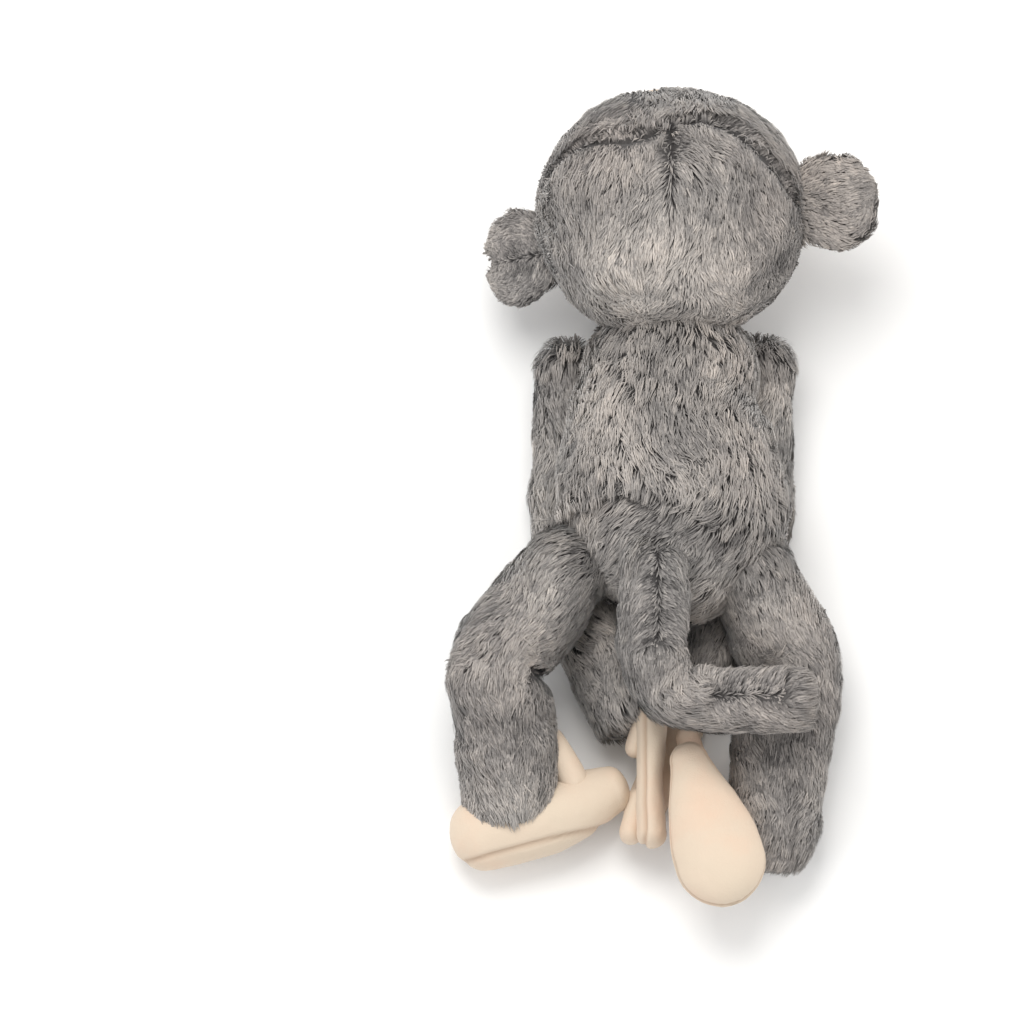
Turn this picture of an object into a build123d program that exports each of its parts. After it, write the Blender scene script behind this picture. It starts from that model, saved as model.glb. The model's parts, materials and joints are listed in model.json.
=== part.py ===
"""Stuffed monkey lying on its belly, hands and feet gathered behind it.

Millimetres. +Z is up from the table, +Y runs from the rump to the head and +X is the toy's right.
Every soft part is a fur or velour cover around a separate filling. Covers of one limb meet at the
bends, where the real sleeve only folds.
"""
import os
from math import asin, cos, pi, radians, sin, sqrt

from build123d import *

# ---- covers and clearances ----
fur_wall = 7.0              # knitted backing with its pile laid down
velour_wall = 2.5           # short pile cloth of the face, hands and feet
filling_ease = 0.3          # air between a cover and its filling
body_gap = 1.0              # between parts that move against each other
seam_gap = 0.8              # half the opening left between two lengths of a limb at rest
table_press = 1.2           # how far a round limb is flattened by the table

# ---- torso ----
torso_width = 150.0
torso_upper_length = 50.0   # widest line to the centre of the round shoulders
torso_lower_length = 18.0   # widest line to the centre of the round rump
shoulder_width = 118.0
torso_press = 5.0           # how far the belly is flattened by the table
widest_line_y = -10.0

# ---- head ----
head_width = 178.0
head_offset_x = 4.0         # the head lies a little to the right
head_tip = 54.0             # degrees of the head's own up direction above the table
head_rise = 100.0           # head centre above the table
neck_radius = 30.0
neck_bury = 10.0            # how deep the head settles into the shoulders
face_radius = 62.0
muzzle_width = 84.0
muzzle_reach = 70.0         # head centre to muzzle centre
muzzle_drop = 20.0          # muzzle centre below the head's middle, along its own up direction
nose_width = 18.0
eye_radius = 9.0
eye_spacing = 46.0
eye_rise = 24.0
washer_radius = 11.0
washer_thickness = 2.4
stem_radius = 2.5

# ---- ears ----
ear_width = 74.0
ear_length = 64.0
ear_thickness = 18.0
ear_start = 9.0             # gap between the head and the ear's narrow seam

# ---- arms ----
shoulder_y = 80.0
shoulder_inset = 7.0        # shoulder centre inside the torso's half width
shoulder_height = 48.0
upper_arm_length = 114.0
left_forearm_length = 148.0
right_forearm_length = 126.0  # bunched up under the rump
arm_width = 46.0
wrist_width = 40.0
left_elbow_x = -71.0
left_wrist_x = -30.0
left_wrist_height = 28.0
right_elbow_x = 65.0
right_wrist_x = 24.0
right_wrist_height = 22.0

# ---- hands ----
hand_length = 84.0          # between the centres of its round ends
hand_width = 38.0
hand_thickness = 23.0
left_hand_x = -11.0
left_hand_height = 47.0
left_hand_start_y = -168.0
right_hand_height = 11.3
right_hand_tip_x = -17.0

# ---- legs ----
hip_y = -66.0
left_hip_x = -60.0
right_hip_x = 62.0
left_hip_height = 88.0
right_hip_height = 118.0
left_thigh_length = 90.0    # the sharply bent left leg is bunched up
left_shin_length = 100.0
right_thigh_length = 104.0
right_shin_length = 116.0
leg_width = 68.0
left_knee_x = -116.0
left_knee_height = 82.0
left_ankle_x = -108.0
left_ankle_height = 35.0
right_knee_x = 84.0
right_knee_height = 48.0
right_ankle_x = 74.0
right_ankle_height = 32.5

# ---- feet ----
foot_heel_width = 62.0
foot_toe_width = 32.0
left_heel_x = -124.0
left_toe_x = -39.0
left_heel_set = 26.0        # heel centre behind the ankle
left_toe_rise = 38.0
right_foot_length = 68.0
right_foot_height = 67.0
right_foot_thickness = 40.0
right_heel_x = 38.0
right_toe_x = 19.0
right_heel_set = 15.0

# ---- tail ----
tail_width = 47.0
tail_root_x = -9.0
tail_root_y = -74.0
tail_root_height = 122.0
tail_root_length = 60.0
tail_bend_height = 109.0
tail_bend_radius = 38.0
tail_tip_length = 60.0
tail_tip_rise = 3.0         # degrees

# ---- swing of each joint, degrees, least and most ----
swings = {
    "neck_turn": (-20, 20),
    "neck_nod": (-2, 18),
    "ear_left_flop": (-16, 2),
    "ear_right_flop": (-18, 18),
    "shoulder_left": (0, 2),
    "shoulder_right": (0, 1),
    "elbow_left": (0, 4),
    "elbow_right": (0, 3),
    "wrist_left": (0, 30),
    "wrist_right": (0, 14),
    "hip_left": (0, 22),
    "hip_right": (0, 22),
    "knee_left": (0, 28),
    "knee_right": (0, 28),
    "ankle_left": (0, 25),
    "ankle_right": (0, 22),
    "tail_base": (0, 30),
    "tail_curl": (0, 30),
}

big = 1200.0                # side of the blocks that stand for half spaces
up = Vector(0, 0, 1)


# ---- shapes used all over the toy ----
def reach(start, length, x, z):
    """The point a length away from start, behind it, at the given x and height."""
    back = sqrt(length**2 - (x - start.X) ** 2 - (z - start.Z) ** 2)
    return Vector(x, start.Y - back, z)


def turned(shape, pivot, axis, angle):
    return shape.rotate(Axis(tuple(pivot), tuple(axis)), angle)


def half_space(point, normal):
    """Everything on the side that normal points to."""
    plane = Plane(origin=tuple(point), z_dir=tuple(normal))
    return plane.location * Pos(0, 0, big / 2) * Box(big, big, big)


def capsule(start, end, start_radius, end_radius, grow=0.0):
    """A tapered round-ended roll from start to end."""
    span = end - start
    length = span.length
    r0 = start_radius + grow
    r1 = end_radius + grow
    lean = asin((r0 - r1) / length)
    t0 = (r0 * sin(lean), r0 * cos(lean))
    t1 = (length + r1 * sin(lean), r1 * cos(lean))
    a0 = (pi + pi / 2 - lean) / 2
    a1 = (pi / 2 - lean) / 2
    outline = Curve() + [
        ThreePointArc((-r0, 0), (r0 * cos(a0), r0 * sin(a0)), t0),
        Line(t0, t1),
        ThreePointArc(t1, (length + r1 * cos(a1), r1 * sin(a1)), (length + r1, 0)),
        Line((length + r1, 0), (-r0, 0)),
    ]
    roll = revolve(make_face(outline), Axis.X)
    return Plane(origin=tuple(start), x_dir=tuple(span), z_dir=tuple(span.cross(up.cross(span)))).location * roll


def ball(centre, radius):
    return Pos(*centre) * Sphere(radius)


def cut(shape, cutters):
    """Shape without any of the cutters, as one part."""
    for cutter in cutters:
        shape = shape - cutter
    return shape


def above_table(shape):
    return shape - half_space((0, 0, 0), (0, 0, -1))


def past_bend(pivot, toward, axis, swing):
    """Cutters for what lies past a bend, leaving half the swing on the side that closes."""
    least, most = swing
    cutters = []
    for tilt in ((most + 1) / 2, (least - 1) / 2):
        normal = toward.rotate(Axis((0, 0, 0), tuple(axis)), tilt)
        cutters.append(half_space(pivot - normal * seam_gap, normal))
        normal = toward.rotate(Axis((0, 0, 0), tuple(axis)), -tilt)
        cutters.append(half_space(pivot - normal * seam_gap, normal))
    return cutters


def steps(swing, stride=6.0):
    """Angles from the least to the most of a swing, no more than a stride apart."""
    least, most = swing
    count = max(2, int((most - least) / stride) + 2)
    return [least + (most - least) * i / (count - 1) for i in range(count)]


# ---- where the joints are ----
half_torso = torso_width / 2
shoulder = {
    "left": Vector(-half_torso + shoulder_inset, shoulder_y, shoulder_height),
    "right": Vector(half_torso - shoulder_inset, shoulder_y, shoulder_height),
}
rest_height = arm_width / 2 - table_press
elbow = {
    "left": reach(shoulder["left"], upper_arm_length, left_elbow_x, rest_height),
    "right": reach(shoulder["right"], upper_arm_length, right_elbow_x, rest_height),
}
wrist = {
    "left": reach(elbow["left"], left_forearm_length, left_wrist_x, left_wrist_height),
    "right": reach(elbow["right"], right_forearm_length, right_wrist_x, right_wrist_height),
}
hip = {
    "left": Vector(left_hip_x, hip_y, left_hip_height),
    "right": Vector(right_hip_x, hip_y, right_hip_height),
}
knee = {
    "left": reach(hip["left"], left_thigh_length, left_knee_x, left_knee_height),
    "right": reach(hip["right"], right_thigh_length, right_knee_x, right_knee_height),
}
ankle = {
    "left": reach(knee["left"], left_shin_length, left_ankle_x, left_ankle_height),
    "right": reach(knee["right"], right_shin_length, right_ankle_x, right_ankle_height),
}
head_up = Vector(0, cos(radians(head_tip)), sin(radians(head_tip)))
head_front = Vector(0, sin(radians(head_tip)), -cos(radians(head_tip)))
right = Vector(1, 0, 0)
torso_radius = torso_width / 2
torso_height = torso_radius - torso_press
torso_centre = Vector(0, widest_line_y, torso_height)
torso_top = Vector(0, widest_line_y + torso_upper_length, torso_height + 2.0)
torso_low = Vector(0, widest_line_y - torso_lower_length, torso_height)
head_radius = head_width / 2
head_centre = Vector(
    head_offset_x,
    torso_top.Y + shoulder_width / 2 + head_radius - neck_bury,
    head_rise,
)
neck_centre = Vector(head_offset_x, head_centre.Y - head_radius + 2.0, head_rise - 12.0)
wrist_toward = {"left": Vector(0.86, -0.5, 0).normalized(), "right": Vector(0, -1, 0)}
tail_root = Vector(tail_root_x, tail_root_y, tail_root_height)
tail_bend = reach(tail_root, tail_root_length, tail_root_x - 1.0, tail_bend_height)

# joint name: pivot, axis
pivots = {
    "neck_turn": (neck_centre, Vector(0, 1, 0)),
    "neck_nod": (neck_centre, right),
    "shoulder_left": (shoulder["left"], Vector(-1, 0, 0)),
    "shoulder_right": (shoulder["right"], up),
    "elbow_left": (elbow["left"], Vector(-1, 0, 0)),
    "elbow_right": (elbow["right"], up),
    "wrist_left": (wrist["left"], Vector(-1, 0, 0)),
    "wrist_right": (wrist["right"], up),
    "hip_left": (hip["left"], -up),
    "hip_right": (hip["right"], up),
    "knee_left": (knee["left"], -up),
    "knee_right": (knee["right"], up),
    "ankle_left": (ankle["left"], -up),
    "tail_base": (tail_root, Vector(-1, 0, 0)),
    "tail_curl": (tail_bend, Vector(-1, 0, 0)),
}
outward = {"left": -up, "right": up}


# ---- limbs: a fur sleeve and its filling ----
def limb(start, end, start_width, end_width, cutters):
    """Sleeve and filling of one length of a limb, with the cutters taken away from both."""
    whole, hollow, core = [
        capsule(start, end, start_width / 2, end_width / 2, grow)
        for grow in (0.0, -fur_wall, -fur_wall - filling_ease)
    ]
    return above_table(cut(whole - hollow, cutters)), above_table(cut(core, cutters))


def bend_cutters(before, pivot, after, joint):
    """Cutters of a bend for the length before it and for the length after it."""
    toward = ((pivot - before).normalized() + (after - pivot).normalized()).normalized()
    axis = pivots[joint][1]
    return past_bend(pivot, toward, axis, swings[joint]), past_bend(pivot, -toward, axis, swings[joint])


def arm(side):
    near, far = bend_cutters(shoulder[side], elbow[side], wrist[side], "elbow_" + side)
    toward = wrist_toward[side]
    axis = pivots["wrist_" + side][1]
    cuff = past_bend(wrist[side], toward, axis, swings["wrist_" + side])
    upper = limb(shoulder[side], elbow[side], arm_width, arm_width, near)
    fore = limb(elbow[side], wrist[side], arm_width, wrist_width, far + cuff)
    return upper, fore


def hand_ends(side):
    if side == "left":
        start = Vector(left_hand_x, left_hand_start_y, left_hand_height)
        return start, start + Vector(0, -hand_length, 0)
    start = Vector(right_wrist_x - 6.0, wrist["right"].Y - 6.0, right_hand_height)
    return start, reach(start, hand_length, right_hand_tip_x, right_hand_height)


def hand(side):
    """Back half, palm half and filling of a mitten; the left one stands on its edge."""
    start, end = hand_ends(side)
    across = right if side == "left" else up
    toward, axis = -wrist_toward[side], pivots["wrist_" + side][1]
    cuff = past_bend(wrist[side], toward, axis, swings["wrist_" + side])
    shape = []
    for grow in (0.0, -velour_wall, -velour_wall - filling_ease):
        half = hand_thickness / 2 + grow
        faces = [half_space(start + across * half, across), half_space(start - across * half, -across)]
        mitten = capsule(start, end, hand_width / 2, hand_width / 2, grow)
        shape.append(above_table(cut(mitten, faces + cuff)))
    cover = shape[0] - shape[1]
    return cover - half_space(start, across), cover - half_space(start, -across), shape[2]


# ---- legs and feet ----
def foot_ends(side):
    if side == "left":
        heel = Vector(left_heel_x, ankle["left"].Y - left_heel_set, foot_heel_width / 2 - table_press)
        return heel, Vector(left_toe_x, heel.Y + 20.0, left_toe_rise)
    heel = Vector(right_heel_x, ankle["right"].Y - right_heel_set, right_foot_height)
    toe_y = heel.Y + sqrt(right_foot_length**2 - (right_heel_x - right_toe_x) ** 2)
    return heel, Vector(right_toe_x, toe_y, right_foot_height)


def foot_envelope(side, grow=0.0):
    heel, toe = foot_ends(side)
    roll = capsule(heel, toe, foot_heel_width / 2, foot_toe_width / 2, grow)
    if side == "left":
        return roll
    half = right_foot_thickness / 2 + grow
    return roll - half_space(heel + up * half, up) - half_space(heel - up * half, -up)


ankle_toward = {"left": Vector(0.1, -1, 0).normalized(), "right": Vector(-0.5, -0.35, 0.79).normalized()}
ankle["right"] = Vector(
    (ankle["right"].X + right_heel_x) / 2 + 2.0,
    ankle["right"].Y - right_heel_set / 2,
    (ankle["right"].Z + right_foot_height) / 2 + 1.0,
)
pivots["ankle_right"] = (ankle["right"], Vector(1, 0, 0))
shin_end = {
    "left": ankle["left"],
    "right": reach(knee["right"], right_shin_length, right_ankle_x, right_ankle_height),
}


def leg(side):
    near, far = bend_cutters(hip[side], knee[side], shin_end[side], "knee_" + side)
    joint = "ankle_" + side
    sock = past_bend(ankle[side], ankle_toward[side], pivots[joint][1], swings[joint])
    thigh = limb(hip[side], knee[side], leg_width, leg_width, near)
    shin = limb(knee[side], shin_end[side], leg_width, leg_width, far + sock)
    return thigh, shin


def foot(side):
    """Upper, sole and filling of a foot; the seam runs round it between top and sole."""
    heel, toe = foot_ends(side)
    joint = "ankle_" + side
    sock = past_bend(ankle[side], -ankle_toward[side], pivots[joint][1], swings[joint])
    shape = [
        above_table(cut(foot_envelope(side, grow), sock))
        for grow in (0.0, -velour_wall, -velour_wall - filling_ease)
    ]
    cover = shape[0] - shape[1]
    sole_side = (toe - heel).cross(up) if side == "left" else up
    seam = heel + sole_side.normalized() * 6.0
    return cover - half_space(seam, sole_side), cover - half_space(seam, -sole_side), shape[2]


# ---- tail ----
def tail():
    """A straight length from the rump and a curved length that ends over the right knee."""
    r = tail_width / 2
    toward = Vector(0, -1, 0)
    near = past_bend(tail_bend, toward, right, swings["tail_curl"])
    far = past_bend(tail_bend, -toward, right, swings["tail_curl"])
    centre = tail_bend + Vector(tail_bend_radius, 0, 0)
    turn_end = centre + Vector(0, -tail_bend_radius, 0)
    rise = radians(tail_tip_rise)
    end = turn_end + Vector(cos(rise), 0, sin(rise)) * tail_tip_length
    root = []
    tip = []
    for grow in (0.0, -fur_wall, -fur_wall - filling_ease):
        root.append(cut(capsule(tail_root, tail_bend, r, r, grow), near))
        ring = Pos(*centre) * Torus(tail_bend_radius, r + grow)
        bend = ring - half_space(centre, (0, 1, 0)) - half_space(centre, (1, 0, 0))
        tip.append(cut(bend + capsule(turn_end, end, r, r, grow), far))
    return (root[0] - root[1], root[2]), (tip[0] - tip[1], tip[2])


# ---- head ----
def head_shape(grow=0.0):
    return ball(head_centre, head_radius + grow)


def on_face(side_step, up_step, out_step):
    return head_centre + right * side_step + head_up * up_step + head_front * out_step


def eye_place(side):
    """Where an eye is sewn in, looking straight out of the face."""
    x = side * eye_spacing / 2
    out = sqrt(head_radius**2 - x**2 - eye_rise**2)
    seat = on_face(x, eye_rise, out)
    return Plane(origin=tuple(seat), z_dir=tuple((seat - head_centre).normalized())).location


def rod(bottom, radius, height):
    return Pos(0, 0, bottom) * Cylinder(radius, height, align=(Align.CENTER, Align.CENTER, Align.MIN))


def eye(side):
    """Safety eye with its stem, the washer that locks it, and the room both take in the head."""
    here = eye_place(side)
    washer_bottom = -fur_wall - washer_thickness - 1.2
    dome = Pos(0, 0, -2.0) * Sphere(eye_radius) - rod(-big, eye_radius * 2, big)
    stem = rod(washer_bottom - 1.0, stem_radius, -washer_bottom + 1.0)
    washer = rod(washer_bottom, washer_radius, washer_thickness) - rod(-big / 2, stem_radius + 0.05, big)
    pocket = rod(washer_bottom - 2.0, washer_radius + filling_ease, 20.0)
    hole = rod(-20.0, stem_radius + 0.05, 20.0)
    return here * (dome + stem), here * washer, here * pocket, here * hole


def head():
    """Back panels, crown, face, muzzle, nose, eyes and filling."""
    whole = above_table(head_shape() - ball(neck_centre, neck_radius + body_gap))
    shell = whole - head_shape(-fur_wall)
    behind = half_space(head_centre, -head_front)
    before = half_space(head_centre, head_front)
    opening = Plane(origin=tuple(head_centre), z_dir=tuple(head_front)).location * rod(0, face_radius, big)
    muzzle_centre = on_face(0, -muzzle_drop, muzzle_reach)
    muzzle = ball(muzzle_centre, muzzle_width / 2)
    nose_centre = muzzle_centre + (head_front * 0.94 + head_up * 0.34) * (muzzle_width / 2 - 2.0)
    nose = ball(nose_centre, nose_width / 2)
    front = shell - behind
    face = front - (front - opening) - muzzle
    filling = above_table(head_shape(-fur_wall - filling_ease) - ball(neck_centre, neck_radius + body_gap))
    made = {
        "head_back_left": shell - before - half_space(head_centre, right),
        "head_back_right": shell - before - half_space(head_centre, -right),
        "head_crown": front - opening,
        "muzzle": above_table(muzzle - head_shape(-fur_wall) - nose),
        "nose": nose,
    }
    washers = []
    for name, side in (("eye_left", -1), ("eye_right", 1)):
        button, washer, pocket, hole = eye(side)
        face = face - hole - washer
        made["muzzle"] = made["muzzle"] - pocket
        filling = filling - pocket
        made[name] = button - face
        washers.append(washer)
    made["face_panel"] = face
    made["eye_washers"] = Part() + washers
    made["head_stuffing"] = filling
    return made


# ---- ears ----
ear_out = {"left": Vector(-0.66, -0.55, -0.5).normalized(), "right": Vector(0.93, 0.18, 0.3).normalized()}
ear_across = {"left": Vector(0.3, -0.75, 0.6), "right": Vector(-0.15, 0.97, 0.1)}
ear_away = {"left": Vector(-0.93, -0.28, -0.1).normalized(), "right": Vector(0.99, 0.0, 0.1).normalized()}
ear_root = {side: head_centre + ear_away[side] * head_radius for side in ("left", "right")}
for side in ("left", "right"):
    across = ear_across[side] - ear_out[side] * ear_across[side].dot(ear_out[side])
    ear_across[side] = across.normalized()
    pivots["ear_" + side + "_flop"] = (ear_root[side], ear_across[side])


def ear(side):
    """Furry back and velour lining of one ear, joined round the rim."""
    radius = ear_width / 2
    face = ear_out[side].cross(ear_across[side])
    centre = ear_root[side] + ear_out[side] * (ear_length - radius)
    rim = Plane(origin=tuple(centre), x_dir=tuple(ear_out[side]), z_dir=tuple(face)).location
    half = Curve() + [
        Line((0, 0), (radius, 0)),
        ThreePointArc((radius, 0), (radius * 0.62, ear_thickness * 0.36), (0, ear_thickness / 2)),
        Line((0, ear_thickness / 2), (0, 0)),
    ]
    bowl = rim * revolve(Plane.XZ.location * make_face(half), Axis.Z)
    seam_edge = half_space(ear_root[side] + ear_out[side] * ear_start, -ear_out[side])
    front = bowl.rotate(Axis(tuple(centre), tuple(ear_out[side])), 180)
    halves = [piece - seam_edge - head_shape(body_gap + 2.0) for piece in (bowl, front)]
    return halves if face.Z > 0 else halves[::-1]


# ---- torso ----
def torso_shape(grow=0.0):
    """A pear: round at the rump and narrower at the shoulders."""
    return capsule(torso_low, torso_top, torso_radius, shoulder_width / 2, grow)


def torso_clearances():
    """What the torso gives way to: the head, the limb roots, the tail and the arms under it."""
    rooms = [ball(neck_centre, neck_radius + body_gap)]
    for angle in swings["neck_nod"]:
        rooms.append(turned(head_shape(body_gap), neck_centre, right, angle))
    for side in ("left", "right"):
        for name, start, end, width in (
            ("shoulder_", shoulder[side], elbow[side], arm_width),
            ("hip_", hip[side], knee[side], leg_width),
        ):
            pivot, axis = pivots[name + side]
            for angle in steps(swings[name + side], 12.0):
                rooms.append(turned(capsule(start, end, width / 2, width / 2, body_gap), pivot, axis, angle))
        roll = capsule(elbow[side], wrist[side], arm_width / 2, wrist_width / 2, 2 * body_gap)
        for name in ("shoulder_", "elbow_"):
            pivot, axis = pivots[name + side]
            for share in (0.0, 1.5):
                rooms.append(turned(roll, pivot, axis, share * swings[name + side][1]))
    for angle in steps(swings["tail_base"], 16.0):
        roll = capsule(tail_root, tail_bend, tail_width / 2, tail_width / 2, body_gap)
        rooms.append(turned(roll, tail_root, pivots["tail_base"][1], angle))
    return rooms


def torso():
    rooms = torso_clearances()
    shell = above_table(cut(torso_shape(), rooms)) - torso_shape(-fur_wall)
    filling = above_table(cut(torso_shape(-fur_wall - filling_ease), rooms))
    back = shell - half_space(torso_centre, -up)
    return {
        "torso_back_left": back - half_space(torso_centre, right),
        "torso_back_right": back - half_space(torso_centre, -right),
        "torso_belly": shell - half_space(torso_centre, up),
        "torso_stuffing": filling,
    }


# ---- the whole toy ----
def build():
    nodes = dict(torso())
    nodes["neck_stuffing"] = ball(neck_centre, neck_radius)
    nodes.update(head())
    for side in ("left", "right"):
        nodes["ear_" + side + "_back"], nodes["ear_" + side + "_lining"] = ear(side)
        upper, fore = arm(side)
        nodes["upper_arm_" + side + "_sleeve"], nodes["upper_arm_" + side + "_stuffing"] = upper
        nodes["forearm_" + side + "_sleeve"], nodes["forearm_" + side + "_stuffing"] = fore
        palm = hand(side)
        for part_name, piece in zip(("back", "palm", "stuffing"), palm):
            nodes["hand_" + side + "_" + part_name] = piece
        thigh, shin = leg(side)
        nodes["thigh_" + side + "_sleeve"], nodes["thigh_" + side + "_stuffing"] = thigh
        nodes["shin_" + side + "_sleeve"], nodes["shin_" + side + "_stuffing"] = shin
        for part_name, piece in zip(("sole", "upper", "stuffing"), foot(side)):
            nodes["foot_" + side + "_" + part_name] = piece
    root, tip = tail()
    nodes["tail_root_sleeve"], nodes["tail_root_stuffing"] = root
    nodes["tail_tip_sleeve"], nodes["tail_tip_stuffing"] = tip
    return nodes


nodes = build()
box = Compound(children=[Part() + piece for piece in nodes.values()]).bounding_box()
to_origin = Vector(-(box.min.X + box.max.X) / 2, -(box.min.Y + box.max.Y) / 2, -box.min.Z)
os.makedirs("parts", exist_ok=True)
for name, piece in nodes.items():
    export_step(Pos(*to_origin) * piece, "parts/" + name + ".step")
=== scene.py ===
"""Stuffed monkey lying on its belly: tipped grey plush with pale velour hands, feet and face."""
import json
import math

import bpy
import numpy as np
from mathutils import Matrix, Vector, kdtree, noise


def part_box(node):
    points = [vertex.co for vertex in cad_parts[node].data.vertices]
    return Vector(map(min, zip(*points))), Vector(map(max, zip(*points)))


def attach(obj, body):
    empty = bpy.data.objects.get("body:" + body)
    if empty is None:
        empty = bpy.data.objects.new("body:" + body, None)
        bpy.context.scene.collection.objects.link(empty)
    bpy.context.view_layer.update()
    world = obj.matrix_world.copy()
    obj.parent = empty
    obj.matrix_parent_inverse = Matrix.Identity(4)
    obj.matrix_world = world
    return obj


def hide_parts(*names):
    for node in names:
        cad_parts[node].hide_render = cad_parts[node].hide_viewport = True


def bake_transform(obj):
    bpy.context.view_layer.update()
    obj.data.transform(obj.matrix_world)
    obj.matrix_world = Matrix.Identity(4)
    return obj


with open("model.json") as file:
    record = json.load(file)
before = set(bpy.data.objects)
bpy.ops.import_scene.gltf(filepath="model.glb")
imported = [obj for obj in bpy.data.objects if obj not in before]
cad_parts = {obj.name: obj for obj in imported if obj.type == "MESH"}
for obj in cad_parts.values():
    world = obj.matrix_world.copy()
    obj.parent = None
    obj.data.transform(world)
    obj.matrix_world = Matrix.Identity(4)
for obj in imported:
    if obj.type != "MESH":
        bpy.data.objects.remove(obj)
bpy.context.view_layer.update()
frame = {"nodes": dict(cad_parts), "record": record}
place = {j["name"]: Vector(j["pos_m"]) for j in frame["record"]["behaviour"]["joints"]}


# ---- Studio ----
# A pale floor under the toy, one broad soft light above and weaker ones at the sides.
def soft_light(name, spot, size, power, colour):
    light = bpy.data.lights.new(name, "AREA")
    light.shape = "DISK"
    light.size = size
    light.energy = power
    light.color = colour
    lamp = bpy.data.objects.new(name, light)
    lamp.location = spot
    lamp.rotation_euler = (-Vector(spot)).to_track_quat("-Z", "Y").to_euler()
    bpy.context.scene.collection.objects.link(lamp)


soft_light("top_light", (-0.3, 0.7, 1.9), 1.3, 26, (1.0, 0.985, 0.96))
soft_light("side_light", (1.5, -0.4, 1.0), 1.0, 7, (1.0, 0.97, 0.94))
soft_light("back_light", (-1.4, -0.9, 0.9), 1.0, 6, (0.95, 0.97, 1.0))
world = bpy.data.worlds.new("studio")
world.use_nodes = True
world.node_tree.nodes["Background"].inputs["Color"].default_value = (1.0, 1.0, 1.0, 1)
world.node_tree.nodes["Background"].inputs["Strength"].default_value = 0.75
bpy.context.scene.world = world
bpy.context.scene.view_settings.view_transform = "Standard"

# The camera stands far off and steep above the rump, with the toy right of the middle.
look_at = Vector((-0.1048, -0.0048, 0.04))
view_width = 0.72
camera_distance = 9.0
elevation = math.radians(78)
camera = bpy.data.objects.new("camera", bpy.data.cameras.new("camera"))
camera.data.lens = camera.data.sensor_width * camera_distance / view_width
away = Vector((0, -math.cos(elevation), math.sin(elevation)))
camera.location = look_at + away * camera_distance
camera.rotation_euler = (-away).to_track_quat("-Z", "Y").to_euler()
bpy.context.scene.collection.objects.link(camera)
bpy.context.scene.camera = camera


# ---- Node writing ----
# Sockets are wrapped, so that a pattern reads as a sum of its parts.
class Value:
    def __init__(self, socket):
        self.socket = socket
        self.tree = socket.id_data

    def _with(self, kind, first, second):
        return node(self.tree, "ShaderNodeMath", {"operation": kind}, {0: first, 1: second})[0]

    def __add__(self, other):
        return self._with("ADD", self, other)

    def __sub__(self, other):
        return self._with("SUBTRACT", self, other)

    def __rsub__(self, other):
        return self._with("SUBTRACT", other, self)

    def __mul__(self, other):
        return self._with("MULTIPLY", self, other)

    __radd__ = __add__
    __rmul__ = __mul__


def node(tree, kind, settings, inputs):
    """Adds a node with its settings, then its socket values or links, and gives its outputs."""
    made = tree.nodes.new(kind)
    for name, value in settings.items():
        if name == "ramp":
            stops = made.color_ramp.elements
            while len(stops) < len(value):
                stops.new(0.5)
            for stop, (where, colour) in zip(stops, value):
                stop.position = where
                stop.color = (*colour, 1)
        else:
            setattr(made, name, value)
    for name, value in inputs.items():
        socket = made.inputs[name]
        if isinstance(value, Value):
            tree.links.new(value.socket, socket)
        else:
            socket.default_value = value
    return [Value(s) for s in made.outputs]


def blank_material(name, roughness, sheen):
    """A Principled material with a soft sheen, ready for its colour and bump."""
    made = bpy.data.materials.new(name)
    made.use_nodes = True
    shader = made.node_tree.nodes["Principled BSDF"]
    shader.inputs["Roughness"].default_value = roughness
    shader.inputs["Sheen Weight"].default_value = sheen
    shader.inputs["Sheen Roughness"].default_value = 0.45
    shader.inputs["Specular IOR Level"].default_value = 0.25
    return made, made.node_tree, shader


# ---- Plush fur ----
# Long pile on a knitted back: charcoal at the root, warm grey at the tip, darker where it parts, where the
# dark roots show and painted shade darkens the backing in the seam grooves.
# Each tuft of hairs is one flat blade rooted in the backing, combed along the piece and drawn into locks.
pile_length = 0.0145
pile_width = 0.00095
pile_height = 0.0052        # how far brushed-down pile stands off its backing
ear_pile_length = 0.009
root_depth = 0.0006         # how deep a blade is planted in the backing
groove_depth = 0.0045       # how far a seam pulls the backing in
seam_reach = 0.0045         # how far a seam's groove spreads
parting_reach = 0.010       # how far a seam turns the pile away
blades_per_lock = 16


def fur_material():
    made, tree, shader = blank_material("plush_fur", 0.82, 0.35)
    spot = node(tree, "ShaderNodeTexCoord", {}, {})[3]
    tone = node(tree, "ShaderNodeAttribute", {"attribute_name": "tone"}, {})[2]
    cloud = node(tree, "ShaderNodeTexNoise", {}, {"Vector": spot, "Scale": 14.0, "Detail": 4.0})[0]
    grain = node(tree, "ShaderNodeTexNoise", {}, {"Vector": spot, "Scale": 420.0, "Detail": 3.0})[0]
    level = tone + (cloud - 0.5) * 0.22 + (grain - 0.5) * 0.30
    stops = [
        (0.0, (0.030, 0.028, 0.028)), (0.20, (0.100, 0.095, 0.093)), (0.45, (0.250, 0.238, 0.228)),
        (0.70, (0.420, 0.392, 0.365)), (1.0, (0.640, 0.585, 0.530)),
    ]
    colour = node(tree, "ShaderNodeValToRGB", {"ramp": stops}, {"Fac": level})[0]
    warm = node(tree, "ShaderNodeTexNoise", {}, {"Vector": spot, "Scale": 7.0, "Detail": 2.0})[0]
    tinted = node(
        tree, "ShaderNodeMix", {"data_type": "RGBA", "blend_type": "MULTIPLY"},
        {0: (warm - 0.3) * 0.9, 6: colour, 7: (1.0, 0.90, 0.86, 1)},
    )[2]
    tree.links.new(tinted.socket, shader.inputs["Base Color"])
    bump = node(tree, "ShaderNodeBump", {}, {"Strength": 0.35, "Distance": 0.0008, "Height": grain})[0]
    tree.links.new(bump.socket, shader.inputs["Normal"])
    return made


fur = fur_material()


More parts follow.
